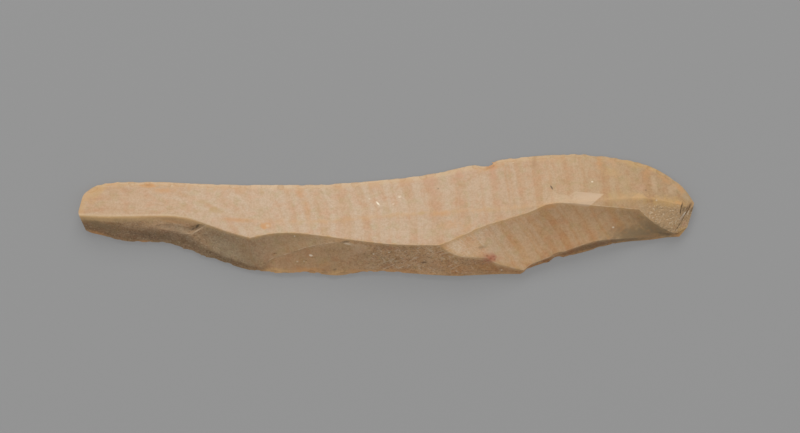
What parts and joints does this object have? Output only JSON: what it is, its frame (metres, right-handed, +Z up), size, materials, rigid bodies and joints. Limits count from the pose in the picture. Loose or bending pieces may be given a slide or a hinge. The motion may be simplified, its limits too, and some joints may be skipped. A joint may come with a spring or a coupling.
{
  "type": "flint sickle blade",
  "caption": "Long knapped blade of banded flint with a finely retouched cutting edge, a bevelled back for hafting and a blunt butt, lying on its flat ventral face.",
  "frame": {"origin": "bottom centre of the blade's box, on the flat of its ventral face", "axes": "+X along the blade from its narrow end to its butt, +Y across it towards the cutting edge, +Z up out of the dorsal face"},
  "size_m": [0.105, 0.0208, 0.0058],
  "materials": {
    "flint": "satin, worn and lightly patinated"
  },
  "bodies": {
    "root": {"blade": "flint"}
  },
  "joints": []
}
